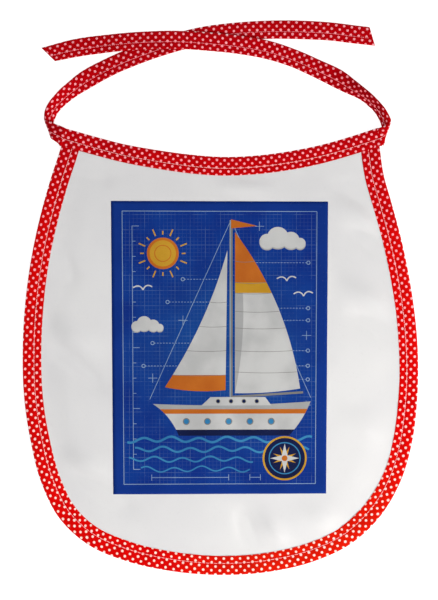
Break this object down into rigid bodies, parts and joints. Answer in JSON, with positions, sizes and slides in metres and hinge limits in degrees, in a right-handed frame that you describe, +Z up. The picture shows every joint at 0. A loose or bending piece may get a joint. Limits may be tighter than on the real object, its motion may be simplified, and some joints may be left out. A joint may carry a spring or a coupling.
{
  "type": "baby bib",
  "caption": "Tie-on baby bib lying flat: white cloth face with a printed panel, towelling back, dotted bias binding and two long tape ties that cross above the neck.",
  "frame": {"origin": "centre of the bib's outline without its ties, on the surface that it lies on", "axes": "+Z up out of the printed face, +Y from the hem towards the neck, +X across the bib to the right of someone reading the print"},
  "size_m": [0.2602, 0.3657, 0.0099],
  "materials": {
    "face_cloth": "smooth white knitted face cloth",
    "towelling": "white looped towelling",
    "dotted_tape": "red woven cotton bias tape with small white dots",
    "print_ink": "matt blue transfer print on cloth"
  },
  "bodies": {
    "root": {"front_panel": "face_cloth", "back_panel": "towelling", "edge_binding": "dotted_tape", "neck_binding": "dotted_tape", "tie_left": "dotted_tape", "tie_right": "dotted_tape", "print_film": "print_ink"}
  },
  "joints": []
}
